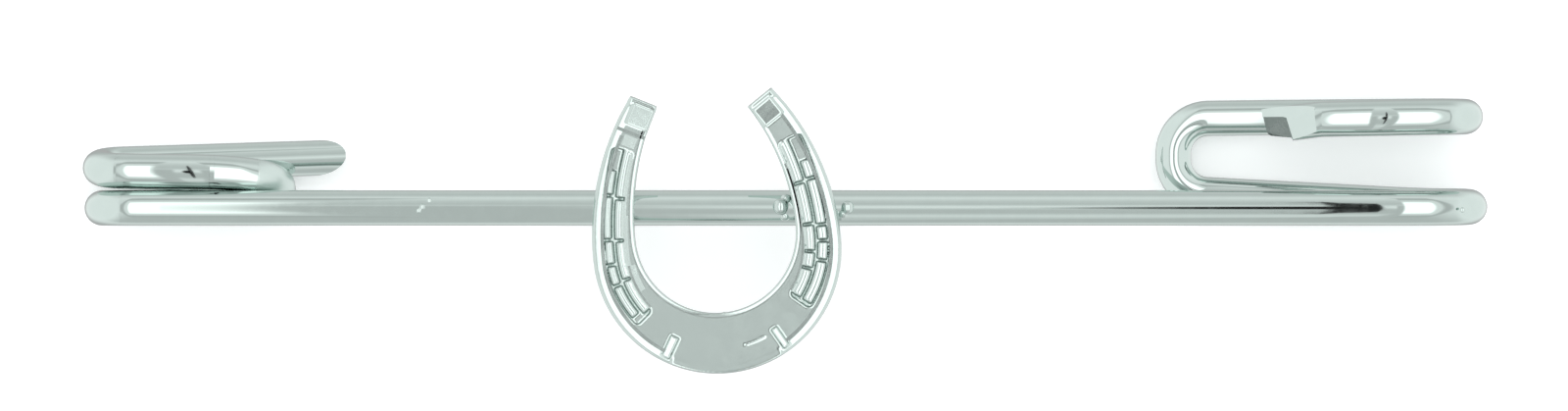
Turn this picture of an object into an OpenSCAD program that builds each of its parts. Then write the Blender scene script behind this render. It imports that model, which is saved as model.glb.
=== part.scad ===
// Stock pin: a wire bar with a spring clip bent at each end and a horseshoe soldered on its front.
// Millimetres. X runs along the bar, Y up the horseshoe, Z out of its front.
// The pin lies on its back: the rear strands of both clips rest on z = 0.

/* [Wire] */
// Diameter of the wire
wire_d = 1.6; // [1.5:0.05:1.7]
// Length of the pin over both ends
pin_l = 63.5; // [60:0.5:70]
// Centre of the bar in front of the centre of the rear strands
clip_depth = 3.1; // [3:0.05:3.4]
// Centre-line radius at the nose of each end bend
nose_r = 1.2; // [1.15:0.05:1.25]
// Angle at which the strands run in to the nose, in degrees
nose_flare = 15; // [12:1:18]

/* [Left clip] */
// Length from the end of the pin to the outside of the inner hairpin
left_hairpin_l = 9.6; // [9:0.1:10.5]
// Length from the end of the pin to the tip of the free leg
left_leg_l = 11.85; // [11.5:0.1:12.5]
// Height of the free leg over the bar at its tip
left_leg_rise = 2.3; // [2.2:0.05:2.4]
// Angle between the oblique cut and the leg, in degrees
left_cut = 31; // [28:1:40]

/* [Right clip] */
// Length from the end of the pin to the outside of the open hairpin
right_hairpin_l = 14.95; // [14.5:0.1:15.5]
// Height of the upper strands over the bar
right_rise = 4.1; // [4.05:0.05:4.2]
// Length from the end of the pin to the wedge tip
right_tip_l = 10.15; // [10:0.1:10.5]

/* [Horseshoe] */
// Radius of the outside round the toe
shoe_r = 5.6; // [5.5:0.05:5.7]
// Radius of the opening
shoe_hole_r = 3.62; // [3.6:0.02:3.7]
// Thickness of the plate
shoe_t = 1.25; // [1.2:0.05:1.4]
// Middle of the toe circle, left of the middle of the bar
shoe_left = 3.05; // [2:0.05:5]
// Middle of the toe circle below the bar
shoe_drop = 1.85; // [1.8:0.05:1.95]
// Turn of the shoe on the bar, anticlockwise from the front, in degrees
shoe_turn = 6; // [4:0.5:8]
// Depth to which the bar sinks into the back of the shoe
shoe_seat = 0.2; // [0.15:0.05:0.3]

/* [Hidden] */
silver = "silver";

wire_r = wire_d / 2;
wire_sides = 16;
bend_step = 13;
rear_z = wire_r;
bar_z = rear_z + clip_depth;
nose_x = pin_l / 2 - wire_r;
// Share of the run beside a nose that the bend of its flare takes up
flare_share = 0.97;

// The left clip from its free leg inwards, each place as [height over the bar, z]
left_tip_x = left_leg_l - pin_l / 2;
left_tip = [left_leg_rise, rear_z];
left_leg_back = [left_leg_rise - 0.28, rear_z];
left_front_back = [1.78, bar_z - 0.3];
left_mid_x = left_tip_x - 7;
left_mid = [1.58, bar_z - 0.55];
left_mid_r = 20;
left_hairpin_x = left_hairpin_l - pin_l / 2 - wire_r;
left_hairpin_front = [1.38, bar_z - 0.9];
left_hairpin_rear = [0.25, rear_z];
left_hairpin_r = 1.2;
left_inner_x = 0.08 - nose_x;
bar_rear = [0, rear_z];
bar_front = [0, bar_z];

// The right clip from the bar outwards
right_rear_back = [0.1, rear_z];
right_hairpin_x = pin_l / 2 - right_hairpin_l + wire_r;
right_hairpin_low = [0.68, rear_z];
right_hairpin_high = [right_rise - 0.06, rear_z];
right_hairpin_r = 1.6;
right_outer_x = nose_x - 0.18;
right_high_back = [right_rise + 0.06, rear_z];
right_front_back = [right_rise, bar_z - 0.45];
right_tip_x = pin_l / 2 - right_tip_l;
right_mid_x = right_tip_x + 2.3;
right_mid = [right_rise - 0.12, bar_z - 0.5];
right_mid_r = 8;
right_tip = [right_rise - 0.43, rear_z + wire_d + 0.2];

// Boxes that cut the two wire ends, and how they are turned
left_cutter = [6, 2.4, 2];
left_cutter_on = -1;
left_cut_roll = -5;
right_cutter = [3.6, 4, 2];
right_cutter_on = 1.2;
right_wedge_h = 0.3;
right_wedge_angle = 40;
right_wedge_rolls = [-38, 24];

// The branches follow arcs that leave the toe circles upright and end at the heels: radius and
// angle of each, for the left and for the right branch
outer_arc = [[12.05, 37.1], [11.3, 38.2]];
inner_arc = [[11.76, 30.25], [10.2, 32.5]];
shoe_hole_up = 0.75;
outer_rim = 0.45;
inner_rim = 0.35;
rim_depth = 0.4;
toe_steps = 10;
branch_steps = 7;

// A channel down each branch holds two staggered rows of nail heads
channel_r = 4.6;
channel_up = 0.18;
channel_branch_r = 13.3;
channel_toe_angle = 37;
channel_heel_angle = 20.5;
channel_w = 1.05;
channel_floor_w = 0.85;
channel_flare = 0.05;
channel_d = 0.35;
channel_step = 0.6;
channel_end_steps = [0.02, 0.15, 0.35];
nails = 4;
nail_w = 0.34;
nail_apart = 0.44;
nail_gap = 0.16;
nail_h = 0.3;
nail_slope = 0.06;
nail_stagger = 0.075;
nails_in = 0.25;
last_nail_in = 0.2;
// How far a cutter passes the face it cuts, and an added part sinks into what carries it
cut_over = 0.1;
sink = 0.05;

// A groove marks off the pad at each heel, and two short cuts mark the toe
heel_cutter = [6, 4, 2];
heel_bevel = 0.35;
heel_bevel_angle = 45;
heel_groove_back = 1.65;
heel_groove_size = [4, 0.16, 1];
heel_groove_d = 0.2;
heel_pad_back = 0.8;
heel_pad_size = [0.85, 0.85, 0.1];
toe_cut_angle = 29;
toe_cut_size = [0.4, 1.1, 1];
toe_cut_d = 0.25;

// Lumps of solder stand on the bar against both edges of each branch
solder_r = 0.45;
solder_sink = 0.25;
solder_outer_u = 1.16;
solder_inner_u = 1.1;

// The pin's own box is centred on the origin, so the bar is a little above it
heel_x = shoe_r - outer_arc[1][0] * (1 - cos(outer_arc[1][1]));
heel_y = outer_arc[1][0] * sin(outer_arc[1][1]);
shoe_top = heel_x * sin(shoe_turn) + heel_y * cos(shoe_turn) - shoe_drop;
bar_y = (shoe_drop + shoe_r - shoe_top) / 2;
shoe_z = bar_z + wire_r - shoe_seat;

function unit(v) = v / norm(v);

// A closed solid through rings of points, all with the same number of points
module skin(rings) {
    n = len(rings[0]);
    last = len(rings) - 1;
    polyhedron(
        points = [for (ring = rings) each ring],
        faces = concat(
            [[for (j = [0:n - 1]) j]],
            [for (i = [0:last - 1], j = [0:n - 1])
                [i * n + j, (i + 1) * n + j, (i + 1) * n + (j + 1) % n, i * n + (j + 1) % n]],
            [[for (j = [n - 1:-1:0]) last * n + j]]
        )
    );
}

// A box that stands on the origin, centred over it
module standing(size) {
    translate([-size.x / 2, -size.y / 2, 0])
        cube(size);
}

// Columns of a wire row: x along the bar, place as [height over the bar, z], radius of the bend
function point(row) = [row[0], row[1].x, row[1].y];

// An end bend as four rows: the wire flares in, turns twice at the nose and flares out
function end_bend(side, x, from, to) =
    let (
        across = unit(to - from),
        middle = (from + to) / 2,
        half_nose = nose_r * tan((90 - nose_flare) / 2),
        flare_l = (norm(to - from) / 2 - half_nose) / sin(nose_flare),
        flare_r = flare_share * (flare_l - half_nose) / tan(nose_flare / 2),
        flare_x = x - side * flare_l * cos(nose_flare)
    )
    [
        [flare_x, from, flare_r],
        [x, middle - across * half_nose, nose_r],
        [x, middle + across * half_nose, nose_r],
        [flare_x, to, flare_r]
    ];

wire_rows = concat(
    [[left_tip_x, left_tip, 0]],
    end_bend(-1, -nose_x, left_leg_back, left_front_back),
    [
        [left_mid_x, left_mid, left_mid_r],
        [left_hairpin_x, left_hairpin_front, left_hairpin_r],
        [left_hairpin_x, left_hairpin_rear, left_hairpin_r]
    ],
    end_bend(-1, left_inner_x, bar_rear, bar_front),
    end_bend(1, nose_x, bar_front, right_rear_back),
    [
        [right_hairpin_x, right_hairpin_low, right_hairpin_r],
        [right_hairpin_x, right_hairpin_high, right_hairpin_r]
    ],
    end_bend(1, right_outer_x, right_high_back, right_front_back),
    [
        [right_mid_x, right_mid, right_mid_r],
        [right_tip_x, right_tip, 0]
    ]
);

// The centres and ways of the rings round the bend at one row
function bend_stations(before, here, after) =
    let (
        r = here[2],
        way_in = unit(point(here) - point(before)),
        way_out = unit(point(after) - point(here)),
        angle = acos(way_in * way_out),
        inwards = unit(way_out - way_in * (way_in * way_out)),
        centre = point(here) - way_in * r * tan(angle / 2) + inwards * r,
        steps = max(1, round(angle / bend_step))
    )
    [for (i = [0:steps])
        let (a = angle * i / steps)
        [centre + r * (way_in * sin(a) - inwards * cos(a)), way_in * cos(a) + inwards * sin(a)]];

// Every ring's sideways direction, carried along the wire without twist
function carried(stations, side, i = 0) =
    i == len(stations) ? [] :
    let (way = stations[i][1], next = unit(side - way * (side * way)))
    concat([next], carried(stations, next, i + 1));

module clip_wire() {
    last = len(wire_rows) - 1;
    start = point(wire_rows[0]);
    end = point(wire_rows[last]);
    stations = concat(
        [[start, unit(point(wire_rows[1]) - start)]],
        [for (i = [1:last - 1]) each bend_stations(wire_rows[i - 1], wire_rows[i], wire_rows[i + 1])],
        [[end, unit(end - point(wire_rows[last - 1]))]]
    );
    sides = carried(stations, [0, 1, 0]);
    color(silver)
        difference() {
            skin([for (i = [0:len(stations) - 1])
                let (u = sides[i], v = cross(stations[i][1], u))
                [for (j = [0:wire_sides - 1])
                    let (a = 360 * j / wire_sides)
                    stations[i][0] + wire_r * (u * cos(a) + v * sin(a))]]);
            left_leg_cut();
            right_tip_cuts();
        }
}

// The free leg is cut at a slant, with the cut face turned to the back
module left_leg_cut() {
    translate([left_tip_x, left_leg_rise, rear_z + wire_r])
        rotate([left_cut_roll, -left_cut, 0])
            translate([left_cutter_on, 0, -left_cutter.z])
                standing(left_cutter);
}

// Two slanted faces meet in a ridge above the middle of the wire and leave a wedge
module right_tip_cuts() {
    for (roll = right_wedge_rolls)
        translate([right_tip_x, right_rise, right_tip.y + right_wedge_h])
            rotate([0, -right_wedge_angle, 0])
                rotate([roll, 0, 0])
                    translate([right_cutter_on, 0, 0])
                        standing(right_cutter);
}

// The horseshoe's edges: u is 0 at the toe, 1 at the waist and 2 at the heel, negative on the left,
// and inset moves them into the metal
function branch(arcs, u) = arcs[u < 0 ? 0 : 1];

function branch_point(u, start_x, arc_r, inset_r, angle) =
    let (a = angle * (abs(u) - 1))
    [sign(u) * (start_x - arc_r + inset_r * cos(a)), inset_r * sin(a)];

function outer_edge(u, inset = 0) =
    let (arc = branch(outer_arc, u))
    abs(u) <= 1 ? (shoe_r - inset) * [sin(90 * u), -cos(90 * u)] :
    branch_point(u, shoe_r, arc[0], arc[0] - inset, arc[1]);

function inner_edge(u, inset = 0) =
    let (arc = branch(inner_arc, u))
    [0, shoe_hole_up] + (
        abs(u) <= 1 ? (shoe_hole_r + inset) * [sin(90 * u), -cos(90 * u)] :
        branch_point(u, shoe_hole_r, arc[0], arc[0] + inset, arc[1])
    );

module shoe_blank() {
    steps = concat(
        [for (i = [0:toe_steps]) i / toe_steps],
        [for (i = [1:branch_steps]) 1 + i / branch_steps]
    );
    n = len(steps) - 1;
    rim_z = shoe_t - rim_depth;
    skin([for (u = concat([for (i = [n:-1:1]) -steps[i]], steps)) [
        [each inner_edge(u), 0],
        [each inner_edge(u), rim_z],
        [each inner_edge(u, inner_rim), shoe_t],
        [each outer_edge(u, outer_rim), shoe_t],
        [each outer_edge(u), rim_z],
        [each outer_edge(u), 0]
    ]]);
}

// A place in the right channel: l along its middle line from the toe end, off outwards from it
channel_toe_l = channel_r * channel_toe_angle * PI / 180;
channel_l = channel_toe_l + channel_branch_r * channel_heel_angle * PI / 180;

function channel_point(l, off) =
    let (
        toe = l < channel_toe_l,
        r = toe ? channel_r : channel_branch_r,
        a = (l - channel_toe_l) / r * 180 / PI
    )
    [channel_r - r + (r + off) * cos(a), channel_up + (r + off) * sin(a)];

function channel_round(l) =
    let (r = channel_w / 2, e = min(l, channel_l - l))
    e < r ? sqrt(1 - pow(1 - e / r, 2)) : 1;

module channel() {
    n = len(channel_end_steps);
    steps = concat(
        channel_end_steps,
        [for (l = [channel_step:channel_step:channel_l - channel_step]) l],
        [for (i = [n - 1:-1:0]) channel_l - channel_end_steps[i]]
    );
    skin([for (l = steps)
        let (
            top = channel_w / 2 * channel_round(l) + channel_flare,
            floor = channel_floor_w / 2 * channel_round(l)
        )
        [
            [each channel_point(l, floor), shoe_t - channel_d],
            [each channel_point(l, -floor), shoe_t - channel_d],
            [each channel_point(l, -top), shoe_t + cut_over],
            [each channel_point(l, top), shoe_t + cut_over]
        ]]);
}

// One half of a nail head: a low block with sloping sides that follows the channel
module nail_half(from, to, off) {
    floor_z = shoe_t - channel_d;
    skin([for (l = [from, (from + to) / 2, to])
        let (in = l == from ? nail_slope : l == to ? -nail_slope : 0)
        [
            [each channel_point(l, off + nail_w / 2), floor_z - sink],
            [each channel_point(l, off - nail_w / 2), floor_z - sink],
            [each channel_point(l + in, off - nail_w / 2 + nail_slope), floor_z + nail_h],
            [each channel_point(l + in, off + nail_w / 2 - nail_slope), floor_z + nail_h]
        ]]);
}

module nail_heads() {
    cell = (channel_l - 2 * nails_in) / nails;
    for (i = [0:nails - 1], side = [-1, 1]) {
        start = nails_in + cell * i + nail_gap / 2;
        end = nails_in + cell * (i + 1) - nail_gap / 2;
        nail_half(
            start + (side > 0 ? nail_stagger * cell : 0),
            i == nails - 1 ? end - last_nail_in : end,
            side * nail_apart / 2
        );
    }
}

// What both branches have is drawn on the right one and mirrored for the left one
module on_side(side) {
    mirror([side < 0 ? 1 : 0, 0, 0])
        children();
}

// The frame of a heel starts at the middle of its end, with X along the end and Y out of it
module at_heel(side) {
    inner = inner_edge(2 * side);
    outer = outer_edge(2 * side);
    across = outer - inner;
    middle = (inner + outer) / 2;
    on_side(side)
        translate([side * middle.x, middle.y, shoe_t])
            rotate([0, 0, atan2(across.y, side * across.x)])
                children();
}

module heel_cuts() {
    translate([0, 0, -heel_bevel])
        rotate([-heel_bevel_angle, 0, 0])
            standing(heel_cutter);
    translate([0, -heel_groove_back, -heel_groove_d])
        standing(heel_groove_size);
}

module heel_pad() {
    translate([0, -heel_pad_back, -cut_over])
        standing(heel_pad_size + [0, 0, cut_over]);
}

module toe_cut() {
    rotate([0, 0, toe_cut_angle])
        translate([0, toe_cut_size.y / 2 - shoe_r, shoe_t - toe_cut_d])
            standing(toe_cut_size);
}

module horseshoe() {
    color(silver) {
        difference() {
            shoe_blank();
            for (side = [-1, 1]) {
                on_side(side) {
                    channel();
                    toe_cut();
                }
                at_heel(side)
                    heel_cuts();
            }
        }
        for (side = [-1, 1]) {
            on_side(side)
                nail_heads();
            at_heel(side)
                heel_pad();
        }
    }
}

module solder() {
    lean = shoe_drop * tan(shoe_turn);
    for (side = [-1, 1])
        for (edge = [outer_edge(side * solder_outer_u), inner_edge(side * solder_inner_u)])
            color(silver)
                translate([edge.x / cos(shoe_turn) - shoe_left - lean, 0, bar_z + wire_r - solder_sink])
                    sphere(r = solder_r, $fn = 24);
}

module stock_pin() {
    translate([0, bar_y, 0]) {
        clip_wire();
        solder();
        translate([-shoe_left, -shoe_drop, shoe_z])
            rotate([0, 0, shoe_turn])
                horseshoe();
    }
}

stock_pin();
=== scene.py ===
import math

import bmesh
import bpy
from mathutils import Matrix, Vector


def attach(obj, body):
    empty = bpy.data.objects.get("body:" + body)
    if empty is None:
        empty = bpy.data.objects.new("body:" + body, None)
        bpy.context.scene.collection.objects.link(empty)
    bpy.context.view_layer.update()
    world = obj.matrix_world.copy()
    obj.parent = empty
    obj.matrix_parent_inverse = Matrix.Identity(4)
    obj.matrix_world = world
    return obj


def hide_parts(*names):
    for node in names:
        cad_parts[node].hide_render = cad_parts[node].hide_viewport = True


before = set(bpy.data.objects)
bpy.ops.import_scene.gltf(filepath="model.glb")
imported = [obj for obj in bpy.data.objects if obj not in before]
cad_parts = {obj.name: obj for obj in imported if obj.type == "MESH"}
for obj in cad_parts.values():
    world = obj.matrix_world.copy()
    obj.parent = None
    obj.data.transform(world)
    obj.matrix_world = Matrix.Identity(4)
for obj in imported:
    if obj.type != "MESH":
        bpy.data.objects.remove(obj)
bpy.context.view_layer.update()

# shapes are made in millimetres, and scaled to metres as each piece is finished
mm = 0.001
snap = 1e-5  # a corner this near to a plane lies on it
weld = 1e-4  # two corners this near to each other become one
print("frame loaded")


def only(kind, elements):
    return [e for e in elements if isinstance(e, kind)]


def newOnes(elements, known):
    return [e for e in elements if e not in known]


def vertsOf(elements):
    return list({v for e in elements for v in e.verts})


def meshObject(name, bm):
    mesh = bpy.data.meshes.new(name)
    bm.to_mesh(mesh)
    bm.free()
    obj = bpy.data.objects.new(name, mesh)
    bpy.context.collection.objects.link(obj)
    return obj


def backToBmesh(obj):
    bm = bmesh.new()
    bm.from_mesh(obj.data)
    bpy.data.objects.remove(obj)
    return bm


def applyModifiers(obj):
    graph = bpy.context.evaluated_depsgraph_get()
    mesh = bpy.data.meshes.new_from_object(obj.evaluated_get(graph))
    obj.modifiers.clear()
    obj.data = mesh


def finishPiece(name, bm, finishes, sharpAngle=180):
    # edges sharper than the angle stay sharp, and at 180 degrees none does
    bmesh.ops.scale(bm, vec=(mm, mm, mm), verts=bm.verts)
    piece = meshObject(name, bm)
    piece.data.shade_smooth()
    piece.data.set_sharp_from_angle(angle=math.radians(sharpAngle))
    for finish in finishes:
        piece.data.materials.append(finish)
    return piece


def facingUp(faces):
    return [f for f in faces if f.normal.z > 0.7]


def bisect(bm, faces, place, normal, clearOuter=False):
    # the faces are cut along the plane, and what lies beyond it goes if clearOuter is set
    parts = vertsOf(faces) + list({e for f in faces for e in f.edges}) + list(faces)
    return bmesh.ops.bisect_plane(bm, geom=parts, dist=snap, plane_co=place, plane_no=normal,
                                  clear_outer=clearOuter)


def raiseBlock(bm, faces, height):
    # the faces become the top of a closed block that reaches down by height
    out = bmesh.ops.extrude_face_region(bm, geom=faces)["geom"]
    bmesh.ops.translate(bm, vec=(0, 0, -height), verts=only(bmesh.types.BMVert, out))


def roundEdges(bm, edges, width, segments):
    bmesh.ops.bevel(bm, geom=edges, offset=width, offset_type="OFFSET", segments=segments, profile=0.5,
                    affect="EDGES", material=-1, clamp_overlap=True)


def fuse(name, bm, voxel, smooths):
    # all that the bmesh holds becomes one closed skin with soft edges
    obj = meshObject(name, bm)
    remesh = obj.modifiers.new("fuse", "REMESH")
    remesh.mode = "VOXEL"
    remesh.voxel_size = voxel
    applyModifiers(obj)
    bm = backToBmesh(obj)
    for i in range(smooths):
        bmesh.ops.smooth_vert(bm, verts=bm.verts, factor=0.5,
                              use_axis_x=True, use_axis_y=True, use_axis_z=True)
    return bm


def addNode(tree, kind, inputs=None, **settings):
    node = tree.nodes.new(kind)
    for key, value in settings.items():
        setattr(node, key, value)
    for key, value in (inputs or {}).items():
        if isinstance(value, bpy.types.NodeSocket):
            tree.links.new(value, node.inputs[key])
        else:
            node.inputs[key].default_value = value
    return node


def mathNode(tree, operation, first, second=0.0):
    return addNode(tree, "ShaderNodeMath", {0: first, 1: second}, operation=operation).outputs[0]


def degreesNode(tree, operation, first, second=0.0):
    return mathNode(tree, "MULTIPLY", mathNode(tree, operation, first, second), 180 / math.pi)


def noiseNode(tree, vector, scale, detail):
    inputs = {"Vector": vector, "Scale": scale, "Detail": detail}
    return addNode(tree, "ShaderNodeTexNoise", inputs).outputs["Fac"]


def rampNode(tree, value, stops):
    node = addNode(tree, "ShaderNodeValToRGB", {"Fac": value})
    elements = node.color_ramp.elements
    while len(elements) < len(stops):
        elements.new(0.5)
    for element, (place, grey) in zip(elements, stops):
        element.position = place
        element.color = greyOf(grey)
    return node.outputs["Color"]


def mixNode(tree, factor, first, second):
    # a mix of colours has its factor at 0, the colours at 6 and 7, and its result at 2
    node = addNode(tree, "ShaderNodeMix", {0: factor, 6: first, 7: second}, data_type="RGBA")
    return node.outputs[2]


def rangeNode(tree, value, low, high, toLow=0.0, toHigh=1.0):
    inputs = {"Value": value, "From Min": low, "From Max": high, "To Min": toLow, "To Max": toHigh}
    return addNode(tree, "ShaderNodeMapRange", inputs, interpolation_type="SMOOTHSTEP").outputs[0]


def greyOf(value):
    return (value, value, value, 1)


def shaded(colour, share):
    return (*[c * share for c in colour[:3]], 1)


silver = {
    "colour": (0.555, 0.64, 0.612),
    "dull": 0.985,
    # painted shade in creases: the share of the colour left there, and the pointiness over which it fades
    # in
    "creaseShadeShare": 0.55,
    "creaseShadeFrom": (0.4, 0.48),  # pointiness, which is low in a crease
    "cloudScale": 1500,
    "cloudDetail": 2,
    "cloudRough": (0.35, 0.7),
    "cloudDull": (0.4, 0.65),
    "streakScale": (60, 2600, 2600),
    "streakDetail": 4,
    "grainScale": 5200,
    "grainDetail": 3,
    "bumpHeight": 0.00005,
}


def silverMaterial(name, rough, spread, streaks=0.0, grain=0.0, shade=1.0, paintCreaseShade=False):
    s = silver
    material = bpy.data.materials.new(name)
    material.use_nodes = True
    tree = material.node_tree
    shader = tree.nodes["Principled BSDF"]
    shader.inputs["Metallic"].default_value = 1.0
    coords = addNode(tree, "ShaderNodeTexCoord").outputs["Object"]
    drawn = addNode(tree, "ShaderNodeMapping", {"Vector": coords, "Scale": s["streakScale"]}).outputs[0]
    lines = noiseNode(tree, drawn, 1.0, s["streakDetail"])
    spots = noiseNode(tree, coords, s["grainScale"], s["grainDetail"])
    cloud = noiseNode(tree, coords, s["cloudScale"], s["cloudDetail"])
    roughness = rangeNode(tree, cloud, *s["cloudRough"], rough - spread / 2, rough + spread)
    tree.links.new(roughness, shader.inputs["Roughness"])
    colour = shaded(s["colour"], shade)
    tone = mixNode(tree, rangeNode(tree, cloud, *s["cloudDull"]), shaded(colour, s["dull"]), colour)
    # painted shade: the colour is darkened in creases, where pointiness is low
    if paintCreaseShade:
        hollow = addNode(tree, "ShaderNodeNewGeometry").outputs["Pointiness"]
        outsideCreaseShade = rangeNode(tree, hollow, *s["creaseShadeFrom"])
        tone = mixNode(tree, outsideCreaseShade, shaded(colour, s["creaseShadeShare"]), tone)
    tree.links.new(tone, shader.inputs["Base Color"])
    relief = {"Height": lines, "Strength": streaks, "Distance": s["bumpHeight"]}
    streaked = addNode(tree, "ShaderNodeBump", relief).outputs[0]
    relief = {"Height": spots, "Strength": grain, "Distance": s["bumpHeight"], "Normal": streaked}
    grained = addNode(tree, "ShaderNodeBump", relief).outputs[0]
    tree.links.new(grained, shader.inputs["Normal"])
    return material


wireSilver = silverMaterial("drawnSilver", rough=0.035, spread=0.01, streaks=0.002)
# the cast silver gets painted shade in its creases
shoeSilver = silverMaterial("castSilver", rough=0.1, spread=0.03, grain=0.02, shade=0.95, paintCreaseShade=True)
# painted shade: a darker copy of the silver for lines standing in for the shade in creases
paintedShadeSilver = silverMaterial("paintedShadeSilver", rough=0.15, spread=0.05, grain=0.05, shade=0.7)
# painted sheen: a lighter copy of the silver for spots standing in for where more light is reflected
paintedSheenSilver = silverMaterial("paintedSheenSilver", rough=0.12, spread=0.04, grain=0.03, shade=1.28)
satinSilver = silverMaterial("satinSilver", rough=0.36, spread=0.05, grain=0.05, shade=1.05)
# painted shade: the notch's dark colour stands for its shadow and dark reflection; its roughness and
# grain are the cut's own
shadedCutMetal = silverMaterial("shadedCutMetal", rough=0.3, spread=0.1, grain=0.4, shade=0.42)
print("materials ready")


clipWire = {
    # a place on the wire is x, height over the bar, z
    "radius": 0.8,
    "sides": 64,
    "bendStep": 4,  # degrees
    "leastSteps": 6,  # in any bend
    "stretchStep": 0.8,
    "barY": 1.0089,
    "barZ": 3.9,
    "rearZ": 0.8,
    "noseX": 30.95,
    "noseR": 1.2,
    "leftTip": (-19.9, 2.3, 0.8),
    "leftHairpin": (-22.95, 1.4, 0.8),  # x, radius in front, radius behind
    "rightHairpin": (17.6, 1.6),  # x, radius
    "rightTip": (21.6, 3.67, 2.62),
    "satinBend": 7,  # the row of the left hairpin's front corner, which is rubbed dull
    "leftCut": (31, -5, 0.02),  # slant, roll, start past the tip
    "facet": (24.15, 3.9, 29),  # x, z, slant
    "notch": (22.63, 4.11, 0.04, 0.1),  # x, height over the bar, wall, depth
    "notchSkew": 0.3,
    "notchTurn": 38,
    "sharpAngle": 13,
}
wireFinishes = [wireSilver, shadedCutMetal, satinSilver]


def noseRows(side, x, start, end, flare, bends, noseR=clipWire["noseR"]):
    # both corners of a nose and the bends where its flares leave the strands
    start, end = Vector(start), Vector(end)
    across = (end - start).normalized()
    middle = (start + end) / 2
    lean = math.radians(flare)
    halfNose = noseR * math.tan((math.pi / 2 - lean) / 2)
    flareX = x - side * ((end - start).length / 2 - halfNose) / math.tan(lean)
    return [
        (flareX, *start, bends[0]),
        (x, *(middle - across * halfNose), noseR),
        (x, *(middle + across * halfNose), noseR),
        (flareX, *end, bends[1]),
    ]


def wireRows():
    # x, height over the bar, z, radius of the bend, from the free leg's tip to the pinched one
    w = clipWire
    x, rear, bar = w["noseX"], w["rearZ"], w["barZ"]
    leftX, frontR, rearR = w["leftHairpin"]
    rightX, rightR = w["rightHairpin"]
    return [
        (*w["leftTip"], 0),
        *noseRows(-1, -x, (2.0, rear + 0.2), (1.65, bar - 0.3), 12.3, (4.5, 7.1)),  # left clip's end
        (-26.9, 1.63, bar - 0.3, 23.8),
        (-24.92, 1.57, bar - 0.48, 11.3),
        (leftX, 1.28, 2.92, frontR),  # left clip's tight hairpin
        (leftX, 0.6, rear, rearR),
        *noseRows(-1, 0.08 - x, (0, rear), (0, bar - 0.1), 14, (8, 4), 1.45),  # the bar's left end
        (-20, 0, bar, 870),  # the bar, bowed a little
        (24.5, 0, bar, 220),
        *noseRows(1, x, (0, bar - 0.018), (0.1, rear), 16, (9, 8)),  # the bar's right end
        (rightX, 0.68, rear, rightR),  # right clip's open hairpin
        (rightX, 4.04, rear, rightR),
        (22.9, 4.1, rear + 0.3, 20),
        *noseRows(1, x - 0.18, (4.16, rear), (4.1, bar - 0.5), 13.5, (4.5, 0))[:3],  # right clip's end
        (27.1, 4.05, 3.925, 11.8),
        (24.2, 4.0, 3.255, 3),
        (*w["rightTip"], 0),
    ]


def wirePoint(x, rise, z):
    return Vector((x, clipWire["barY"] + rise, z))


def facing(place, normal):
    # a frame at the place with its z along the normal
    return Matrix.Translation(place) @ normal.to_track_quat("Z", "Y").to_matrix().to_4x4()


def stretchRing(bm, ring, move):
    steps = max(1, round(move.length / clipWire["stretchStep"]))
    for i in range(steps):
        out = bmesh.ops.extrude_edge_only(bm, edges=ring)["geom"]
        bmesh.ops.translate(bm, vec=move / steps, verts=only(bmesh.types.BMVert, out))
        ring = only(bmesh.types.BMEdge, out)
    return ring


def sweepWire(bm):
    # one circle stretched and spun along the rows; gives the leg's, the satin bend's and the tip's faces
    w = clipWire
    rows = wireRows()
    points = [wirePoint(x, rise, z) for x, rise, z, radius in rows]
    place = facing(points[0], (points[1] - points[0]).normalized())
    bmesh.ops.create_circle(bm, cap_ends=True, segments=w["sides"], radius=w["radius"], matrix=place)
    ring = bm.edges[:]
    here = points[0]
    for i in range(1, len(points) - 1):
        wayIn = (points[i] - points[i - 1]).normalized()
        wayOut = (points[i + 1] - points[i]).normalized()
        angle = wayIn.angle(wayOut)
        inward = (wayOut - wayIn * wayIn.dot(wayOut)).normalized()
        radius = rows[i][3]
        known = set(bm.faces)
        start = points[i] - wayIn * radius * math.tan(angle / 2)
        ring = stretchRing(bm, ring, start - here)
        if i == 1:
            legFaces = bm.faces[:]
        steps = max(w["leastSteps"], round(math.degrees(angle) / w["bendStep"]))
        spun = bmesh.ops.spin(bm, geom=vertsOf(ring) + ring, cent=start + inward * radius,
                              axis=wayIn.cross(wayOut), angle=angle, steps=steps,
                              use_merge=False, use_duplicate=False)
        ring = only(bmesh.types.BMEdge, spun["geom_last"])
        if i == w["satinBend"]:
            satinFaces = newOnes(bm.faces, known)
        here = points[i] + wayOut * radius * math.tan(angle / 2)
    known = set(bm.faces)
    ring = stretchRing(bm, ring, points[-1] - here)
    bmesh.ops.contextual_create(bm, geom=ring)
    return legFaces, satinFaces, newOnes(bm.faces, known)


def pressFlat(bm, faces, place, normal):
    # what stands beyond the plane is pressed down onto it, as pliers leave it
    cut = bisect(bm, faces, place, normal)["geom"]
    beyond = [v for v in only(bmesh.types.BMVert, cut) if (v.co - place).dot(normal) > snap]
    bmesh.ops.scale(bm, vec=(1, 1, 0), space=facing(place, normal).inverted(), verts=beyond)
    faces = only(bmesh.types.BMFace, cut)
    flat = [f for f in faces if all((v.co - place).dot(normal) > -weld for v in f.verts)]
    return faces, flat


def cutLeg(bm, faces):
    # the free leg's slanted cut, which faces down
    w = clipWire
    slant, roll, past = w["leftCut"]
    turned = Matrix.Rotation(math.radians(-slant), 3, "Y") @ Matrix.Rotation(math.radians(roll), 3, "X")
    place = wirePoint(*w["leftTip"]) + Vector((past, 0, w["radius"]))
    cut = bisect(bm, faces, place, turned @ Vector((0, 0, -1)), clearOuter=True)["geom_cut"]
    rim = [e for e in only(bmesh.types.BMEdge, cut) if e.is_boundary]
    bmesh.ops.holes_fill(bm, edges=rim, sides=0)


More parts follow.
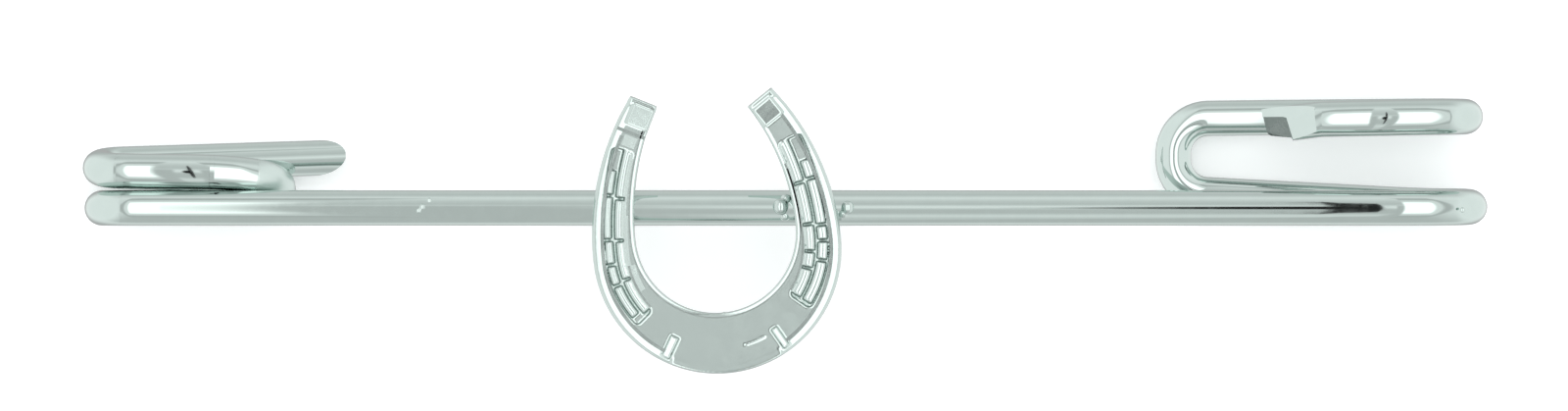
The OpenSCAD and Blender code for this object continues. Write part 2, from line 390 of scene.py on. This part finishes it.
def pinchTip(bm, faces):
    # a long facet on top of the short strand's tip, and one sunk at its corner whose colour is darkened
    # with painted shade
    w = clipWire
    facetX, facetZ, lean = w["facet"]
    slope = math.tan(math.radians(lean))
    normal = Vector((-slope, 0, 1)).normalized()
    place = Vector((facetX, wirePoint(*w["rightTip"]).y, facetZ))
    faces = pressFlat(bm, faces, place, normal)[0]
    notchX, notchY, wall, sink = w["notch"]
    farX, farY = notchX, w["barY"] + notchY
    nearX, nearY = farX - wall, farY - wall
    along, up = Vector((1, w["notchSkew"], 0)), Vector((0, 1, 0))
    for x, y, way in ((farX, farY, along), (nearX, farY, along), (farX, farY, up), (farX, nearY, up)):
        cut = bisect(bm, faces, Vector((x, y, 0)), way)["geom"]
        faces = only(bmesh.types.BMFace, cut)
    edge = Vector((nearX, nearY, 0))
    inside = [f for f in faces if (f.calc_center_median() - edge).dot(along) < 0
              and f.calc_center_median().y < edge.y]
    turned = Matrix.Rotation(math.radians(w["notchTurn"]), 3, "X") @ normal
    edge.z = facetZ + (edge.x - facetX) * slope - sink
    # the sunk facet gets the painted shade
    for f in pressFlat(bm, inside, edge, turned)[1]:
        f.material_index = wireFinishes.index(shadedCutMetal)


def buildWire():
    bm = bmesh.new()
    legFaces, satinFaces, tipFaces = sweepWire(bm)
    for f in satinFaces:
        f.material_index = wireFinishes.index(satinSilver)
    cutLeg(bm, legFaces)
    pinchTip(bm, tipFaces)
    bmesh.ops.remove_doubles(bm, verts=bm.verts, dist=weld)
    bmesh.ops.recalc_face_normals(bm, faces=bm.faces)
    return finishPiece("clipWire", bm, wireFinishes, clipWire["sharpAngle"])


wirePiece = buildWire()
print("wire bent", len(wirePiece.data.polygons))


horseshoe = {
    "left": 3.05,  # the toe circle's middle, left of the pin's middle
    "drop": 1.85,  # and below the bar
    "turn": 6,
    "back": 4.5,  # z of its flat back
    "wall": 1.023,  # height of its sides, below the rim
    "rim": (
        # inset, rise
        (0.04, 0.1),
        (0.06, 0.07),
        (0.28, 0.045),
    ),
    "outerR": 5.6,
    "holeR": 3.62,
    "holeUp": 0.75,
    # radius and degrees of the left and of the right branch
    "outerArcs": ((12.05, 37.1), (11.3, 38.2)),
    "innerArcs": ((11.76, 30.25), (10.2, 32.5)),
    "spare": 0.2,  # the hole starts this much smaller and is cut to size after the rim is made
    "holeTrim": (-0.5, 0, (38, 38), (90, 90)),  # from, to, degrees up the branches and round the toe
    "heelShare": 0.13,  # the last of each branch, in one step
    "branchSteps": 12,
    "toeSteps": 48,
    "bandStep": 0.2,
    "voxel": 0.037,
    "smooths": 3,
    "under": 0.8,
}
thick = horseshoe["wall"] + sum(rise for inset, rise in horseshoe["rim"])
cutOver = 0.3  # how far a cutter passes the face that it cuts
branches = ((-1, 0), (1, 1))  # each branch's side, and its place in a pair of values


def arcEdges(bm, start, arcs):
    known = set(bm.edges)
    last = bm.verts.new(start)
    for centre, degrees, steps in arcs:
        spun = bmesh.ops.spin(bm, geom=[last], cent=centre, axis=(0, 0, 1), angle=math.radians(degrees),
                              steps=steps, use_merge=False, use_duplicate=False)
        last = only(bmesh.types.BMVert, spun["geom_last"])[0]
    return newOnes(bm.edges, known)


def outline(bm, radius, up, arcs):
    # from the left heel round the toe to the right heel
    h = horseshoe
    (leftR, leftAngle), (rightR, rightAngle) = arcs
    a = math.radians(leftAngle)
    start = (leftR - radius - leftR * math.cos(a), up + leftR * math.sin(a), 0)
    leftC, rightC = (leftR - radius, up, 0), (radius - rightR, up, 0)
    share, steps = h["heelShare"], h["branchSteps"]
    return arcEdges(bm, start, [
        (leftC, leftAngle * share, 1),
        (leftC, leftAngle * (1 - share), steps),
        ((0, up, 0), 180, h["toeSteps"]),
        (rightC, rightAngle * (1 - share), steps),
        (rightC, rightAngle * share, 1),
    ])


def plateMesh():
    h = horseshoe
    bm = bmesh.new()
    outer = outline(bm, h["outerR"], 0, h["outerArcs"])
    innerArcs = [(arcR - h["spare"], degrees) for arcR, degrees in h["innerArcs"]]
    inner = outline(bm, h["holeR"] - h["spare"], h["holeUp"], innerArcs)
    top = bmesh.ops.bridge_loops(bm, edges=outer + inner)["faces"]
    bmesh.ops.translate(bm, vec=(0, 0, h["wall"]), verts=bm.verts)
    raiseBlock(bm, top, h["wall"])
    bmesh.ops.recalc_face_normals(bm, faces=bm.faces)
    top = facingUp(bm.faces)
    for inset, rise in h["rim"]:
        bmesh.ops.inset_region(bm, faces=top, thickness=inset, use_even_offset=True, use_boundary=True)
        bmesh.ops.translate(bm, vec=(0, 0, rise), verts=vertsOf(top))
    return bm


def ringBand(bm, x, up, profile, start, sweep):
    # a band round (x, up) from the angle start on; the profile holds radii with their heights
    known = set(bm.faces)
    verts = [bm.verts.new((x + r * math.cos(start), up + r * math.sin(start), z)) for r, z in profile]
    line = verts + [bm.edges.new(pair) for pair in zip(verts, verts[1:])]
    steps = max(2, round(abs(sweep) * profile[0][0] / horseshoe["bandStep"]))
    bmesh.ops.spin(bm, geom=line, cent=(x, up, 0), axis=(0, 0, 1), angle=sweep, steps=steps,
                   use_merge=False, use_duplicate=False)
    return newOnes(bm.faces, known)


def edgeBand(bm, outside, near, far, top, height, ends, toes):
    # a block along the outer or the inner edge, up both branches and round the toe
    h = horseshoe
    if outside:
        radius, up, arcs, inward = h["outerR"], 0, h["outerArcs"], -1
    else:
        radius, up, arcs, inward = h["holeR"], h["holeUp"], h["innerArcs"], 1
    bend = [(radius + inward * d, top) for d in (near, far)]
    for side, i in branches:
        arcR = arcs[i][0]
        first, sweep = (math.pi, -1) if side < 0 else (0, 1)
        branch = [(arcR + inward * d, top) for d in (near, far)]
        faces = ringBand(bm, side * (radius - arcR), up, branch, first, sweep * math.radians(ends[i]))
        faces += ringBand(bm, 0, up, bend, first, -sweep * math.radians(toes[i]))
        bmesh.ops.remove_doubles(bm, verts=vertsOf(faces), dist=weld)
        raiseBlock(bm, [f for f in faces if f.is_valid], height)


def toeBlock(bm, near, far, top, height, start, sweep):
    # a block round the toe between two radii, from the angle start on
    profile = [(near, top), (far, top)]
    raiseBlock(bm, ringBand(bm, 0, 0, profile, math.radians(start), math.radians(sweep)), height)


channel = {
    "r": 4.6,
    "up": 0.18,
    "branchR": 13.3,
    "toeAngle": 37,
    # for the left and for the right branch, with the walls as offsets from the middle line
    "walls": ((-0.46, 0.5), (-0.65, 0.48)),
    "top": (4.9, 4.65),
    "bottom": (-2.75, -2.8),
    "depth": 0.38,
    "endRound": 0.4,
    "endSteps": 5,
}


def alongChannel(y):
    # distance along the channel's middle line, up to the height y on the plate
    c = channel
    toeL = c["r"] * math.radians(c["toeAngle"])
    radius = c["r"] if y < c["up"] else c["branchR"]
    return toeL + radius * math.asin((y - c["up"]) / radius)


def channelBand(bm, side, start, end, profile):
    # the profile holds offsets from the channel's middle line with their heights
    c = channel
    toeL = c["r"] * math.radians(c["toeAngle"])
    arcs = [(c["r"], 0.0, min(start, toeL), min(end, toeL)),
            (c["branchR"], c["r"] - c["branchR"], max(start, toeL), max(end, toeL))]
    faces = []
    for radius, x, low, high in arcs:
        if high - low < weld:
            continue
        first = (low - toeL) / radius
        sweep = (high - low) / radius
        placed = [(radius + off, z) for off, z in profile]
        if side < 0:
            first, sweep = math.pi - first, -sweep
        faces += ringBand(bm, side * x, c["up"], placed, first, sweep)
    bmesh.ops.remove_doubles(bm, verts=vertsOf(faces), dist=weld)
    return faces


def addChannels(bm):
    c = channel
    for side, i in branches:
        known = set(bm.verts)
        low, high = alongChannel(c["bottom"][i]), alongChannel(c["top"][i])
        faces = channelBand(bm, side, low, high, [(off, thick + cutOver) for off in c["walls"][i]])
        raiseBlock(bm, faces, c["depth"] + cutOver)
        # the four upright edges at the ends, where two walls meet
        upright = {e for v in newOnes(bm.verts, known) for e in v.link_edges
                   if abs(e.verts[0].co.z - e.verts[1].co.z) > 0.1 and e.calc_face_angle(0) > 1}
        roundEdges(bm, list(upright), c["endRound"], c["endSteps"])


toeCuts = {
    "cuts": (
        # degrees from the middle of the toe, width, lean
        (-31, 0.4, 7),
        (29, 0.32, -7),
    ),
    "reach": (4.35, 5.4),
    "depth": 0.12,
    "tall": 1,
    "creaseDepth": 0.025,
    "sink": 0.2,
    # two radii, start and sweep in degrees
    "crease": (4.45, 4.53, -67, -13),
    "flat": (5.0, 5.57, -118, 54),
}


def addToeCuts(bm):
    t = toeCuts
    near, far = t["reach"]
    for angle, width, lean in t["cuts"]:
        turned = Matrix.Rotation(math.radians(angle), 4, "Z")
        placed = Matrix.Translation((0, -(near + far) / 2, thick + t["tall"] / 2 - t["depth"]))
        leaned = Matrix.Rotation(math.radians(lean), 4, "Y")
        size = Matrix.Diagonal((width, far - near, t["tall"], 1))
        bmesh.ops.create_cube(bm, size=1, matrix=turned @ placed @ leaned @ size)
    near, far, start, sweep = t["crease"]
    toeBlock(bm, near, far, thick + cutOver, t["creaseDepth"] + cutOver, start, sweep)


def addToeFlat(bm):
    # flat to the very edge between the toe's cuts
    near, far, start, sweep = toeCuts["flat"]
    toeBlock(bm, near, far, thick, toeCuts["sink"], start, sweep)


heels = {
    "base": (1.4, 1.26),
    "top": (0.95, 0.9),
    "shift": -0.14,
    "rise": 0.045,
    "back": 0.75,  # the pad's middle, from the heel's end
    "sink": 0.2,
    "flats": (
        # side, x, y, width, length
        (-1, 0.0, -0.2, 1.16, 0.34),
        (-1, 0.5, -0.8, 0.26, 1.4),
        (1, 0.0, -0.2, 1.16, 0.34),
        (1, -0.5, -0.8, 0.26, 1.4),
    ),
}


def heelFrame(side):
    # middle of a heel's end, with x across the branch and y out of it
    h = horseshoe
    i = 0 if side < 0 else 1
    ends = []
    for radius, up, arcs in ((h["outerR"], 0, h["outerArcs"]), (h["holeR"], h["holeUp"], h["innerArcs"])):
        arcR, degrees = arcs[i]
        a = math.radians(degrees)
        ends.append(Vector((side * (radius - arcR + arcR * math.cos(a)), up + arcR * math.sin(a), thick)))
    across = (ends[0] - ends[1]) * side
    angle = math.atan2(across.y, across.x)
    return Matrix.Translation((ends[0] + ends[1]) / 2) @ Matrix.Rotation(angle, 4, "Z")


def flatPatch(bm, side, x, y, width, length, top, height):
    # a block at a heel, whose upper face is at the height top over the plate
    placed = Matrix.Translation((x, y, top - height / 2))
    size = Matrix.Diagonal((width, length, height, 1))
    bmesh.ops.create_cube(bm, size=1, matrix=heelFrame(side) @ placed @ size)


def addHeels(bm):
    h = heels
    base, top, back = h["base"], h["top"], h["back"]
    for side in (-1, 1):
        placed = Matrix.Translation((0, -back, (h["rise"] - h["sink"]) / 2))
        size = Matrix.Diagonal((*base, h["rise"] + h["sink"], 1))
        pad = bmesh.ops.create_cube(bm, size=1, matrix=placed @ size)["verts"]
        upper = [v for v in pad if v.co.z > 0]
        middle = Matrix.Translation((0, -back, 0))
        shrink = (top[0] / base[0], top[1] / base[1], 1)
        bmesh.ops.scale(bm, vec=shrink, space=middle.inverted(), verts=upper)
        bmesh.ops.translate(bm, vec=(side * h["shift"], 0, 0), verts=upper)
        bmesh.ops.transform(bm, matrix=heelFrame(side), verts=pad)
    # flat to the very edge at the ends and the inner sides
    for patch in h["flats"]:
        flatPatch(bm, *patch, 0, h["sink"])


nails = {
    "height": 0.34,
    "ridge": 0.03,
    "sink": 0.1,
    "gap": 0.14,
    "round": 0.07,
    "roundSteps": 3,
    "columns": (
        # side, inner edge, outer edge, heights of the ends
        (-1, 0.1, 0.45, (4.0, 2.85, 0.9)),
        (-1, 0.05, 0.42, (0.9, -0.2, -1.1, -2.5)),
        (-1, -0.42, -0.05, (4.98, 2.75, 0.85)),
        (-1, -0.44, -0.1, (0.85, -1.0, -2.65)),
        (1, -0.6, -0.18, (4.75, 2.65, 0.7, -0.6, -1.4, -2.7)),
        (1, -0.05, 0.4, (3.6, 2.7, 0.6, -0.1, -0.95, -2.7)),
    ),
}


def borderEdges(faces):
    inside = set(faces)
    return [e for e in {e for f in faces for e in f.edges} if sum(f in inside for f in e.link_faces) == 1]


def addNails(bm):
    n = nails
    top = thick - channel["depth"] + n["height"]
    for side, inner, outer, heights in n["columns"]:
        profile = [(inner, top), ((inner + outer) / 2, top + n["ridge"]), (outer, top)]
        for high, low in zip(heights, heights[1:]):
            known = set(bm.faces)
            start, end = alongChannel(low) + n["gap"] / 2, alongChannel(high) - n["gap"] / 2
            raiseBlock(bm, channelBand(bm, side, start, end, profile), n["height"] + n["sink"])
            head = newOnes(bm.faces, known)
            bmesh.ops.recalc_face_normals(bm, faces=head)
            roundEdges(bm, borderEdges(facingUp(head)), n["round"], n["roundSteps"])


def cutterMesh():
    bm = bmesh.new()
    addChannels(bm)
    addToeCuts(bm)
    # the last cutter trims the hole to size, and runs out past the heels
    near, far, ends, toes = horseshoe["holeTrim"]
    edgeBand(bm, False, near, far, thick + cutOver, thick + 2 * cutOver, ends, toes)
    bmesh.ops.recalc_face_normals(bm, faces=bm.faces)
    return bm


def addedMesh():
    bm = bmesh.new()
    addNails(bm)
    addHeels(bm)
    addToeFlat(bm)
    bmesh.ops.recalc_face_normals(bm, faces=bm.faces)
    return bm


def cutPlate():
    plate = meshObject("plate", plateMesh())
    cutters = meshObject("cutters", cutterMesh())
    cut = plate.modifiers.new("cuts", "BOOLEAN")
    cut.object = cutters
    cut.operation = "DIFFERENCE"
    cut.solver = "EXACT"
    cut.use_self = True
    applyModifiers(plate)
    bpy.data.objects.remove(cutters)
    return backToBmesh(plate)


def flattenBack(bm, under):
    # what lies below the height under becomes a straight wall down to one flat face
    bisect(bm, bm.faces[:], (0, 0, under), (0, 0, -1), clearOuter=True)
    rim = [e for e in bm.edges if e.is_boundary]
    out = bmesh.ops.extrude_edge_only(bm, edges=rim)["geom"]
    bmesh.ops.translate(bm, vec=(0, 0, -under), verts=only(bmesh.types.BMVert, out))
    bmesh.ops.holes_fill(bm, edges=only(bmesh.types.BMEdge, out), sides=0)


def shoePlace():
    h = horseshoe
    turned = Matrix.Rotation(math.radians(h["turn"]), 4, "Z")
    return Matrix.Translation((-h["left"], clipWire["barY"] - h["drop"], h["back"])) @ turned


def buildHorseshoe():
    h = horseshoe
    bm = cutPlate()
    added = meshObject("added", addedMesh())
    bm.from_mesh(added.data)
    bpy.data.objects.remove(added)
    bm = fuse("casting", bm, h["voxel"], h["smooths"])
    flattenBack(bm, h["under"])
    bmesh.ops.transform(bm, matrix=shoePlace(), verts=bm.verts)
    return finishPiece("horseshoe", bm, [shoeSilver])


shoePiece = buildHorseshoe()
print("horseshoe cast", len(shoePiece.data.polygons))


paintedLight = {
    "lift": 0.008,
    "height": 0.06,
    "edges": (
        # outer edge, from, to, degrees up the branches, degrees round the toe
        (True, 0.38, 0.54, (28.5, 35), (57, 59)),
        (False, 0.17, 0.24, (24, 14), (90, 90)),
    ),
    "bands": (
        # bright (1 for painted sheen, 0 for painted shade), side, inner edge, outer edge, heights of the
        # ends
        (0, 1, -0.77, -0.67, 3.7, -2.6),
        (0, -1, -0.58, -0.48, -0.4, -2.6),
        (1, -1, -0.56, -0.47, 4.6, 2.0),
        (1, -1, -0.65, -0.47, 2.0, -0.4),
        (1, -1, -0.84, -0.6, -0.4, -1.8),
    ),
    "patches": (
        # bright (1 for painted sheen, 0 for painted shade), side, x, y, width, length, top
        (0, -1, 0.5, -0.8, 0.16, 1.3, 0.0),
        (0, -1, 0.0, -1.56, 1.3, 0.15, 0.0),
        (0, 1, -0.14, -0.75, 0.78, 0.74, 0.045),
        (1, -1, 0.13, -0.75, 0.86, 0.82, 0.045),
        (1, -1, 0.08, -1.95, 0.6, 0.5, 0.0),
    ),
    "sharpAngle": 20,
}
# painted shade, then painted sheen
paintedLightFinishes = [paintedShadeSilver, paintedSheenSilver]  # dark, bright


def buildPaintedLight():
    # painted shade: dark lines where the rim and the channel meet the face, across the left heel, and a
    # darker right heel pad; painted sheen: lighter bands beside the left channel and lighter spots on the
    # left heel
    p = paintedLight
    bm = bmesh.new()
    top = thick + p["lift"]
    for outside, near, far, ends, toes in p["edges"]:
        edgeBand(bm, outside, near, far, top, p["height"], ends, toes)
    for bright, side, inner, outer, high, low in p["bands"]:
        known = set(bm.faces)
        faces = channelBand(bm, side, alongChannel(low), alongChannel(high), [(inner, top), (outer, top)])
        raiseBlock(bm, faces, p["height"])
        for f in newOnes(bm.faces, known):
            f.material_index = bright
    for bright, *patch, up in p["patches"]:
        known = set(bm.faces)
        flatPatch(bm, *patch, up + p["lift"], p["height"])
        for f in newOnes(bm.faces, known):
            f.material_index = bright
    bmesh.ops.recalc_face_normals(bm, faces=bm.faces)
    bmesh.ops.transform(bm, matrix=shoePlace(), verts=bm.verts)
    return finishPiece("paintedLight", bm, paintedLightFinishes, p["sharpAngle"])


paintedLightPiece = buildPaintedLight()
print("patina laid", len(paintedLightPiece.data.polygons))


solder = {
    "spots": (
        # x, height over the bar, z, radius, flatness
        (-0.2, 0.06, 4.65, 0.36, 0.7),
        (0.05, 0.36, 4.5, 0.28, 0.7),
        (0.0, -0.3, 4.45, 0.3, 0.7),
        (2.82, 0.02, 4.62, 0.3, 0.8),
        (2.62, -0.2, 4.5, 0.28, 0.8),
        (-6.55, 0.1, 4.35, 0.3, 1),
        (-9.0, 0.0, 4.35, 0.3, 1),
        # the raised lips of a nick left of the horseshoe, and a small lump at the right end
        (-16.33, 0.05, 4.67, 0.15, 0.5),
        (-16.5, -0.12, 4.66, 0.13, 0.5),
        (-16.03, 0.33, 4.6, 0.14, 0.5),
        (30.53, -0.09, 4.52, 0.13, 0.4),
    ),
    "subdivisions": 4,
    "voxel": 0.03,
    "smooths": 3,
}


def buildSolder():
    s = solder
    bm = bmesh.new()
    for x, rise, z, radius, flatness in s["spots"]:
        place = Matrix.Translation(wirePoint(x, rise, z)) @ Matrix.Diagonal((1, 1, flatness, 1))
        bmesh.ops.create_icosphere(bm, subdivisions=s["subdivisions"], radius=radius, matrix=place)
    return finishPiece("solder", fuse("lumps", bm, s["voxel"], s["smooths"]), [shoeSilver])


solderPiece = buildSolder()
print("solder set", len(solderPiece.data.polygons))

for piece in (wirePiece, shoePiece, paintedLightPiece, solderPiece):
    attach(piece, "root")
    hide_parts("stock_pin")
print("pieces placed")


studio = {
    "floorSize": 3.0,  # metres
    "floorColour": (0.93, 0.95, 0.955),
    "floorRough": 0.9,
    "floorGlow": 0.24,
    "glowColour": (0.98, 1.0, 1.0),
    "backdrop": 0.93,
    "tent": 1.18,
    "tentFrom": (10, 40),
    "strip": (
        # degrees round the bar from the zenith, up the picture, and grey
        (-180, 0.4),
        (-152, 0.6),
        (-130, 1.0),
        (-102, 0.97),
        (-76, 0.82),
        (-53, 1.05),
        (-33, 0.74),
        (-12, 0.76),
        (5, 1.2),
        (24, 0.78),
        (45, 0.88),
        (67, 1.1),
        (92, 0.78),
        (125, 0.86),
        (152, 0.6),
        (180, 0.4),
    ),
    # degrees from the zenith to a lamp's end and side, softness of both, grey
    "lamp": (22.5, 36, 1.5, 5, 2.0),
    "rim": (27, 50, 1.5, 4, 1.08),
    "frame": (31, 66, 1.5, 4, 0.68),
    "slit": (5.4, 6.8),
    "slitSide": 0.72,
    "slitSideFrom": (2.2, 3.5),
    "slitSideTo": (-112, 15, 8),  # from, to, softness
    "lensGrey": 0.02,
    "lensSide": 2.34,  # degrees from the zenith towards the right end
    "lensSpot": (0.0, 1.15, 10),  # middle, half width, half height
    "lensSpotEdge": (0.3, 1.4),
    "lensBlot": (0.72, 0.5, 42),
    "lensBlotEdge": (0.75, 1.1),
}


def buildFloor():
    s = studio
    bm = bmesh.new()
    bmesh.ops.create_grid(bm, x_segments=1, y_segments=1, size=s["floorSize"] / 2)
    floor = meshObject("floor", bm)
    material = bpy.data.materials.new("paleFloor")
    material.use_nodes = True
    shader = material.node_tree.nodes["Principled BSDF"]
    shader.inputs["Base Color"].default_value = (*s["floorColour"], 1)
    shader.inputs["Roughness"].default_value = s["floorRough"]
    shader.inputs["Specular IOR Level"].default_value = 0.0
    shader.inputs["Emission Color"].default_value = (*s["glowColour"], 1)
    shader.inputs["Emission Strength"].default_value = s["floorGlow"]
    floor.data.materials.append(material)
    floor.visible_glossy = False  # the silver mirrors the tent under the pin, not the floor's blaze


def ovalNode(tree, across, along, centre, wide, high):
    # 1 on the rim of an oval, less inside it
    first = mathNode(tree, "DIVIDE", mathNode(tree, "SUBTRACT", across, centre), wide)
    second = mathNode(tree, "DIVIDE", along, high)
    squares = [mathNode(tree, "MULTIPLY", side, side) for side in (first, second)]
    return mathNode(tree, "ADD", *squares)


def tentNode(tree, roundBar, aside, steep):
    # the strip round the bar, a plain side to the slit between the lamps, and the tent towards the ends
    s = studio
    stops = [((degrees + 180) / 360, grey) for degrees, grey in s["strip"]]
    strip = rampNode(tree, mathNode(tree, "ADD", mathNode(tree, "DIVIDE", roundBar, 360), 0.5), stops)
    low, high, soft = s["slitSideTo"]
    within = mathNode(tree, "MULTIPLY", rangeNode(tree, roundBar, high + soft, high - soft),
                      rangeNode(tree, roundBar, low - soft, low + soft))
    dimmer = mathNode(tree, "MULTIPLY", rangeNode(tree, aside, *s["slitSideFrom"]), within)
    strip = mixNode(tree, dimmer, strip, greyOf(s["slitSide"]))
    return mixNode(tree, rangeNode(tree, steep, *s["tentFrom"]), strip, greyOf(s["tent"]))


def lampNode(tree, behind, roundBar, aside):
    # two lamps, one on each side of the slit, with their rims and frames
    s = studio
    over = mathNode(tree, "ABSOLUTE", roundBar)
    beside = rangeNode(tree, aside, *s["slit"])
    lit = behind
    for end, side, softEnd, softSide, grey in (s["frame"], s["rim"], s["lamp"]):
        share = mathNode(tree, "MULTIPLY", rangeNode(tree, aside, end + softEnd, end - softEnd),
                         rangeNode(tree, over, side + softSide, side - softSide))
        lit = mixNode(tree, mathNode(tree, "MULTIPLY", share, beside), lit, greyOf(grey))
    return lit


def lensNode(tree, behind, roundBar, towardsEnd):
    # a soft spot with a tall blot on it
    s = studio
    spot = ovalNode(tree, towardsEnd, roundBar, *s["lensSpot"])
    blot = ovalNode(tree, towardsEnd, roundBar, *s["lensBlot"])
    clear = mathNode(tree, "MULTIPLY", rangeNode(tree, spot, *s["lensSpotEdge"]),
                     rangeNode(tree, blot, *s["lensBlotEdge"]))
    return mixNode(tree, clear, greyOf(s["lensGrey"]), behind)


def buildWorld():
    s = studio
    world = bpy.data.worlds.new("lightTent")
    bpy.context.scene.world = world
    world.use_nodes = True
    tree = world.node_tree
    way = addNode(tree, "ShaderNodeTexCoord").outputs["Generated"]
    turn = {"Vector": way, "Angle": -math.radians(s["lensSide"])}
    turned = addNode(tree, "ShaderNodeVectorRotate", turn, rotation_type="Y_AXIS").outputs[0]
    axes = addNode(tree, "ShaderNodeSeparateXYZ", {0: turned}).outputs
    x, y, z = axes["X"], axes["Y"], axes["Z"]
    roundBar = degreesNode(tree, "ARCTAN2", y, z)
    towardsEnd = degreesNode(tree, "ARCTAN2", x, z)
    aside = mathNode(tree, "ABSOLUTE", towardsEnd)
    steep = mathNode(tree, "ABSOLUTE", degreesNode(tree, "ARCSINE", x))
    lit = lampNode(tree, tentNode(tree, roundBar, aside, steep), roundBar, aside)
    final = lensNode(tree, lit, roundBar, towardsEnd)
    # a plain backdrop where the tent itself is in view
    direct = addNode(tree, "ShaderNodeLightPath").outputs["Is Camera Ray"]
    final = mixNode(tree, direct, final, greyOf(s["backdrop"]))
    tree.links.new(final, tree.nodes["Background"].inputs["Color"])


camera = {
    # in metres, and the sensor in millimetres
    "distance": 0.6,
    "viewWidth": 0.07072,
    "middle": (-0.000044, 0.001119, 0.0039),
    "sensor": 36,
    "clip": (0.01, 20),
}


def buildCamera():
    c = camera
    data = bpy.data.cameras.new("camera")
    data.sensor_width = c["sensor"]
    data.lens = c["sensor"] * c["distance"] / c["viewWidth"]
    data.clip_start, data.clip_end = c["clip"]
    obj = bpy.data.objects.new("camera", data)
    obj.location = Vector(c["middle"]) + Vector((0, 0, c["distance"]))
    bpy.context.collection.objects.link(obj)
    bpy.context.scene.camera = obj


buildFloor()
buildWorld()
buildCamera()
bpy.context.scene.view_settings.view_transform = "Standard"
print("studio ready")
